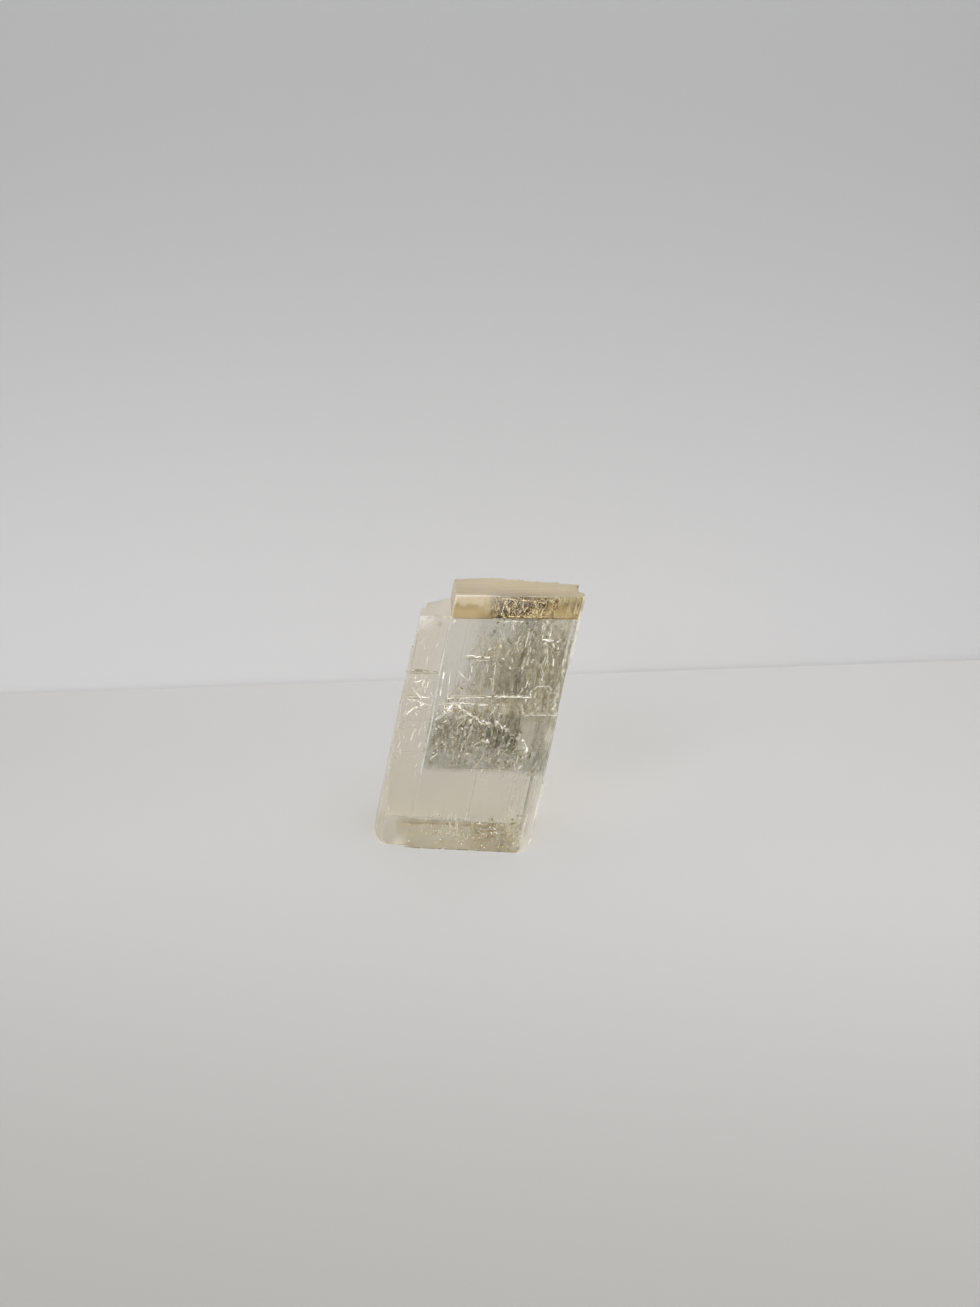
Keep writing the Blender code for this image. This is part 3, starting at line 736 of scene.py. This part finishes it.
def crack_shards(air):
    """Small tilted cracks: each mirrors another part of the room, so they glint or go dark."""
    rng = random.Random(SEED + 5)
    bm = bmesh.new()
    for number in range(620):
        if number % 2:
            u, w = rng.uniform(13.6, 46.0), rng.uniform(26.0, 46.0)
            if w > ARCH_CREST[1] - abs(u - ARCH_CREST[0]) * 0.45:
                continue
        else:
            u, w = 50.0 - abs(rng.gauss(0, 13.0)), rng.uniform(24.0, LAYER_FLOOR - 1.5)
        v = rng.uniform(0.8, 14.0)
        reach = rng.uniform(0.35, 1.2)
        if in_calcite(u, v, w, reach + 0.2) and not in_window(u, v, w):
            flake(bm, (u, v, w), (reach, reach * rng.uniform(0.5, 1.4), 0.04), rng, 0.55)
    for _ in range(70):
        u, v, w = rng.uniform(35.0, 49.0), rng.uniform(0.8, 12.0), rng.uniform(0.9, 8.0)
        reach = rng.uniform(0.3, 0.9)
        if in_calcite(u, v, w, reach + 0.2):
            flake(bm, (u, v, w), (reach, reach * rng.uniform(0.5, 1.2), 0.04), rng, 0.55)
    inner_piece("crack_shards", bm, air)


def flake(bm, centre, size, rng, spread=0.12):
    """Small angular sliver at (u, v, w), facing as slivers do, give or take the spread in radians.

    Size is its two reaches and its thickness in mm, of which it takes up 0.7.
    """
    facing = SLIVER_FACING + Vector([rng.gauss(0, spread) for _ in range(3)])
    turn = facing.to_track_quat("Z", "Y").to_matrix().to_4x4()
    turn = turn @ Matrix.Rotation(rng.uniform(0, math.tau), 4, "Z")
    scale = Matrix.Diagonal((size[0] * MM, size[1] * MM, size[2] * MM, 1.0))
    matrix = Matrix.Translation(place(*centre)) @ turn @ scale
    bmesh.ops.create_cone(
        bm, cap_ends=True, segments=rng.choice((3, 4, 4, 5)), radius1=1.0, radius2=rng.uniform(0.5, 0.9),
        depth=0.7, matrix=matrix,
    )


def sliver(bm, start, end, width, rng, spread=0.12):
    """Thin bar from one (u, v, w) point to another, facing as slivers do, give or take the spread."""
    run = place(*end) - place(*start)
    facing = SLIVER_FACING + Vector([rng.gauss(0, spread) for _ in range(3)])
    across = run.cross(facing).normalized() * width * MM
    thick = across.cross(run).normalized() * SLIVER_THICKNESS * MM
    columns = Matrix((run, across, thick)).transposed().to_4x4()
    middle = (place(*start) + place(*end)) / 2
    bmesh.ops.create_cube(bm, size=1.0, matrix=Matrix.Translation(middle) @ columns)


def seam(bm, points, depth, width, rng, broken=0.15):
    """Ragged chain of slivers along a line of (u, w) points, depth mm behind the front face."""
    for (u0, w0), (u1, w1) in zip(points, points[1:]):
        steps = max(1, round(math.hypot(u1 - u0, w1 - w0) / 0.9))
        spots = []
        for step in range(steps + 1):
            share = step / steps
            w = w0 + (w1 - w0) * share + width * rng.gauss(0, 0.3)
            spots.append((u0 + (u1 - u0) * share, depth + rng.uniform(-0.1, 0.1), w))
        for spot, following in zip(spots, spots[1:]):
            if rng.random() > broken:
                sliver(bm, spot, following, width * rng.uniform(0.4, 1.1), rng)
            if rng.random() < 0.35:
                reach = width * rng.uniform(0.4, 1.0)
                beside = (spot[0] + rng.gauss(0, width), depth + 0.3, spot[2] + rng.gauss(0, width))
                flake(bm, beside, (reach, reach * 0.7, 0.08), rng, 0.2)


def crushed_seams(crushed):
    """Bright crushed lines where the fractures meet the front of the block, as (u, w) points."""
    rng = random.Random(SEED + 2)
    bm = bmesh.new()
    for depth, width, points in (
        # the arch and its long right arm
        (0.8, 0.75, ((11.3, 41.5), (12.7, 42.4), (15.2, 44.8), (16.8, 47.3))),
        (0.8, 0.65, ((17.2, 47.4), (20.9, 45.1), (23.9, 43.3), (25.7, 42.6))),
        (0.8, 0.65, ((25.7, 42.6), (27.0, 41.2), (29.5, 41.4), (30.0, 42.0))),
        (0.8, 0.75, ((31.4, 42.6), (34.6, 39.9), (39.7, 36.9), (41.9, 35.7), (43.3, 33.5), (43.6, 30.6))),
        # long level lines above the arch
        (0.5, 0.28, ((14.5, 49.3), (21.6, 49.7), (31.1, 50.2), (41.0, 50.1))),
        (0.4, 0.34, ((12.0, 47.3), (19.7, 47.8), (25.3, 47.5), (34.2, 47.5))),
        (0.8, 0.26, ((41.0, 50.1), (40.6, 51.5), (42.1, 53.5), (45.9, 53.6), (48.2, 51.4))),
        (0.3, 0.2, ((39.7, 44.4), (50.2, 44.5))),
        # broken lines in the upper middle
        (1.2, 0.24, ((15.5, 58.5), (17.8, 56.6), (20.2, 54.7))),
        (1.4, 0.4, ((20.3, 61.5), (20.4, 55.0))),
        (0.7, 0.35, ((17.4, 63.1), (21.2, 63.2))),
        (0.9, 0.4, ((20.7, 62.8), (25.2, 62.6))),
        (1.4, 0.35, ((21.6, 61.5), (25.4, 61.6))),
        (1.8, 0.35, ((27.7, 60.0), (28.1, 55.2), (28.8, 50.5))),
        (1.0, 0.3, ((11.6, 57.4), (12.0, 49.9))),
        (1.2, 0.25, ((13.7, 57.5), (14.5, 49.3))),
        (0.6, 0.3, ((25.7, 74.3), (33.4, 74.4))),
        # window in the upper right
        (0.7, 0.8, ((40.5, 68.4), (46.1, 68.3))),
        (0.7, 0.25, ((40.4, 74.4), (40.5, 68.3))),
        # under the arch
        (1.2, 0.4, ((24.7, 38.1), (23.3, 35.5), (22.6, 32.8), (22.3, 29.9))),
        (1.2, 0.3, ((15.2, 30.9), (13.0, 28.9))),
        (1.2, 0.14, ((25.2, 12.5), (26.6, 5.5))),
        # left strip
        (1.9, 0.4, ((1.2, 48.4), (3.3, 48.0), (5.8, 47.2), (9.6, 46.4))),
        (1.9, 0.5, ((2.2, 43.2), (4.2, 45.4), (5.4, 45.9), (7.2, 46.6))),
        (1.9, 0.35, ((2.4, 54.1), (4.0, 54.1), (5.5, 54.6))),
        (1.9, 0.35, ((5.1, 49.0), (8.7, 48.8))),
        (1.9, 0.3, ((3.4, 50.9), (5.6, 48.9), (7.0, 47.0))),
        (1.9, 0.25, ((6.4, 52.4), (6.9, 49.4))),
        (1.9, 0.25, ((4.4, 57.6), (8.8, 57.4))),
        # streaks over the base
        (0.9, 0.2, ((26.4, 9.0), (27.0, 4.6))),
        (0.9, 0.22, ((23.6, 9.0), (24.8, 6.6))),
    ):
        seam(bm, points, depth, width, rng)
    inner_piece("crushed_seams", bm, crushed)


def bright_facets(silvery):
    """Larger angular facets that glint in and round the arch, on the window's right and at the base."""
    rng = random.Random(SEED + 8)
    bm = bmesh.new()
    for u, w, size in (
        # in and round the arch
        (22.1, 39.7, 1.2), (25.3, 39.1, 0.6), (23.7, 42.0, 0.9), (12.4, 40.1, 0.9), (14.0, 40.1, 0.8),
        (29.6, 36.3, 1.9), (32.1, 36.7, 1.1), (30.8, 35.0, 1.0), (27.7, 33.3, 0.8), (32.1, 41.6, 1.4),
        (34.2, 40.0, 1.2), (35.8, 38.8, 0.8), (32.6, 44.5, 1.1), (29.9, 46.8, 0.8), (33.3, 45.9, 0.9),
        (28.8, 41.5, 0.9), (15.7, 34.6, 0.8), (38.4, 29.4, 0.9), (39.7, 38.2, 0.9), (43.2, 32.5, 0.9),
        (42.7, 30.5, 0.8),
        # over it and on the right
        (24.9, 65.5, 0.8), (27.4, 55.5, 0.9), (29.5, 62.0, 0.9), (32.3, 59.5, 1.1), (32.7, 67.5, 0.8),
        (48.5, 50.1, 0.6), (45.2, 65.6, 1.3), (10.9, 73.1, 0.8), (11.6, 74.0, 0.7),
        # over the base
        (18.9, 12.2, 0.5), (22.0, 13.0, 0.5), (24.8, 7.2, 0.6), (30.1, 6.7, 0.6), (39.7, 5.8, 0.7),
        (24.4, 4.8, 0.7), (11.9, 1.6, 0.6),
    ):
        for _ in range(3):
            reach = size * rng.uniform(0.35, 0.75)
            middle = (u + rng.gauss(0, size * 0.35), rng.uniform(0.7, 1.3), w + rng.gauss(0, size * 0.35))
            flake(bm, middle, (reach, reach * rng.uniform(0.2, 0.6), 0.1), rng, 0.1)
    inner_piece("bright_facets", bm, silvery)


def stained_flecks():
    """Cream strokes and flecks in the stained layer, most of them upright and in its middle."""
    rng = random.Random(SEED + 4)
    bm = bmesh.new()
    for _ in range(80):
        u, v = rng.gauss(31.0, 5.5), rng.uniform(0.3, 1.2)
        w, length = rng.uniform(LAYER_FLOOR + 0.4, LENGTH - 1.4), rng.uniform(0.3, 2.2)
        end = (u + rng.gauss(0, 0.35) * length, v, min(w + length, LENGTH - 0.8))
        if 21.0 < u < 46.0:
            sliver(bm, (u, v, w), end, rng.uniform(0.08, 0.28), rng, 0.2)
    for _ in range(50):
        u, w = rng.gauss(32.0, 6.0), rng.uniform(LAYER_FLOOR + 0.7, LENGTH - 1.2)
        reach = rng.uniform(0.12, 0.4)
        if 21.0 < u < 48.0:
            flake(bm, (u, rng.uniform(0.4, 1.6), w), (reach, reach * rng.uniform(0.4, 1.2), 0.08), rng, 0.2)
    for depth, width, points in (
        (0.4, 0.3, ((25.8, 76.3), (26.3, 80.9))),
        (0.4, 0.26, ((23.7, 81.6), (28.8, 81.6), (30.0, 81.0), (34.0, 81.2))),
        (0.4, 0.24, ((34.9, 80.6), (39.0, 80.6))),
        (0.5, 0.3, ((26.8, 79.8), (27.8, 80.9), (30.2, 80.9))),
        (0.6, 0.5, ((29.2, 79.4), (30.0, 78.2), (29.4, 77.2))),
        (0.3, 0.4, ((26.5, 76.0), (39.0, 76.0))),
    ):
        seam(bm, points, depth, width, rng, 0.1)
    # Crushed calcite with clay between its grains: cream strokes that still glint a little
    cream = crushed_calcite("stained_calcite_cream", "#ECE4D2", "#9C8B60", 0.75)
    inner_piece("stained_flecks", bm, cream)


def stained_slivers():
    """Iron-stained slivers in the middle of the top layer, dark brown where the stain is thick."""
    rng = random.Random(SEED + 6)
    bm = bmesh.new()
    for _ in range(1100):
        u, v = rng.gauss(30.0, 5.0), 1.3 + abs(rng.gauss(0, 2.5))
        w = rng.uniform(LAYER_FLOOR + 0.4, LENGTH - 0.4)
        reach = rng.uniform(0.25, 0.8)
        if 22.0 < u < 44.0 and in_calcite(u, v, w, reach):
            flake(bm, (u, v, w), (reach * 0.8, reach * rng.uniform(0.4, 0.95), 0.05), rng, 0.4)
    for _ in range(60):  # fine upright strokes on the right
        u, v = rng.uniform(37.0, 50.2), rng.uniform(0.6, 5.0)
        w, length = rng.uniform(LAYER_FLOOR + 0.5, LENGTH - 3.0), rng.uniform(0.8, 3.5)
        end = (u + rng.gauss(0, 0.1), v, min(w + length, LENGTH - 0.9))
        if in_calcite(u, v, w, 0.35):
            sliver(bm, (u, v, w), end, rng.uniform(0.06, 0.18), rng, 0.3)
    for _ in range(34):  # dots under the layer's lower edge
        u, v, w = rng.uniform(25.5, 39.0), rng.uniform(0.5, 0.9), LAYER_FLOOR - rng.uniform(0.2, 0.7)
        reach = rng.uniform(0.15, 0.4)
        flake(bm, (u, v, w), (reach, reach * 0.6, 0.05), rng)
    # Iron oxide on cleavage slivers: matt brown, with no gloss of its own inside the calcite
    brown = crushed_calcite("iron_stained_calcite_brown", "#8A7128", "#463A10", 0.0, 0.0)
    inner_piece("stained_slivers", bm, brown)


def fracture_flecks(silvery):
    """Flecks and strokes of cleaved calcite, under the arch and in the fibrous right half."""
    rng = random.Random(SEED + 1)
    bm = bmesh.new()
    for _ in range(640):  # angular flecks under the arch
        u, v = rng.uniform(12.6, 44.5), rng.uniform(0.7, 5.0)
        w = ARCH_CREST[1] - 0.42 * abs(u - ARCH_CREST[0]) - abs(rng.gauss(0, 9.5))
        reach = rng.uniform(0.12, 0.4) * rng.choice((0.7, 1.0, 1.5))
        if w < 25.6 or in_window(u, v, w) or not in_calcite(u, v, w, 0.4):
            continue
        if rng.random() < 0.45:
            flake(bm, (u, v, w), (reach, reach * rng.uniform(0.3, 1.0), 0.08), rng, 0.28)
            continue
        turn, length = rng.uniform(0.3, 2.4), reach * rng.uniform(1.5, 4.5)
        end = (u + length * math.cos(turn), v, w + length * math.sin(turn))
        if in_calcite(*end, 0.4):
            sliver(bm, (u, v, w), end, rng.uniform(0.07, 0.2), rng, 0.28)
    for _ in range(420):  # strokes, most of them upright, in the right half
        u, v, w = 50.5 - abs(rng.gauss(0, 14.0)), rng.uniform(0.5, 6.0), rng.uniform(24.0, 73.5)
        length, lean = rng.uniform(0.6, 3.2), rng.gauss(0, 0.35)
        end = (u + lean * length, v, w + length)
        within = in_calcite(u, v, w, 0.4) and in_calcite(*end, 0.4)
        if u > 15.0 + 0.12 * w and within and not in_window(u, v, w):
            sliver(bm, (u, v, w), end, rng.uniform(0.1, 0.34), rng, 0.25)
    for _ in range(90):  # flecks at the base's right end
        u, v, w = rng.uniform(33.0, 50.0), rng.uniform(0.6, 9.0), rng.uniform(0.8, 9.0)
        reach = rng.uniform(0.12, 0.5)
        if in_calcite(u, v, w, 0.4):
            flake(bm, (u, v, w), (reach, reach * 0.6, 0.08), rng, 0.3)
    for number in range(90):  # flecks and thin strokes over the base's middle
        u, v, w = rng.gauss(25.5, 4.5), rng.uniform(0.8, 5.0), rng.uniform(1.0, 10.5)
        reach = rng.uniform(0.08, 0.28)
        if number % 2:
            flake(bm, (u, v, w), (reach, reach * 0.6, 0.08), rng, 0.12)
        else:
            end = (u + rng.gauss(0, 0.35), v, w + reach * 6.0)
            sliver(bm, (u, v, w), end, reach * 0.4, rng, 0.2)
    for _ in range(110):  # fine strokes in the strip
        u, v, w = rng.uniform(1.5, 9.8), rng.uniform(1.9, 5.0), rng.gauss(43.0, 9.0)
        length = rng.uniform(0.5, 2.4)
        end = (u + rng.gauss(0, 0.3) * length, v, w + length)
        if in_calcite(u, v, w, 0.4) and in_calcite(*end, 0.4):
            sliver(bm, (u, v, w), end, rng.uniform(0.07, 0.2), rng, 0.3)
    inner_piece("fracture_flecks", bm, silvery)


SOLID = solid_tree()
eye = make_camera()
make_stage(eye)
make_lights()
scene = bpy.context.scene
scene.view_settings.view_transform = "Standard"
scene.cycles.max_bounces = 24
scene.cycles.transmission_bounces = 24
scene.cycles.glossy_bounces = 12

calcite_block(clear_calcite())
# Air in clean cleavage cracks: nearly unseen from the front, a bright mirror at low angles
clean_air = air_gap("air_gap_clean", "#FFFFFD", "#FCFAF4", 0.02, (0.8, 0.5, 9.0))
layer_crack()
base_film()
base_stains()
level_cracks(clean_air)
standing_cracks(clean_air)
fibrous_veils()
fibre_channels(clean_air)
crack_shards(clean_air)
# Crushed calcite along the fractures: white lines; and its cleaved slivers, which glint like silver
crushed = crushed_calcite("crushed_calcite_white", "#FFFFFF", "#E3DDCC", 0.5)
silvery = crushed_calcite("cleaved_calcite_silvery", "#FFFFFF", "#D6D0BE", 0.8)
stained_flecks()
stained_slivers()
crushed_seams(crushed)
bright_facets(silvery)
fracture_flecks(silvery)
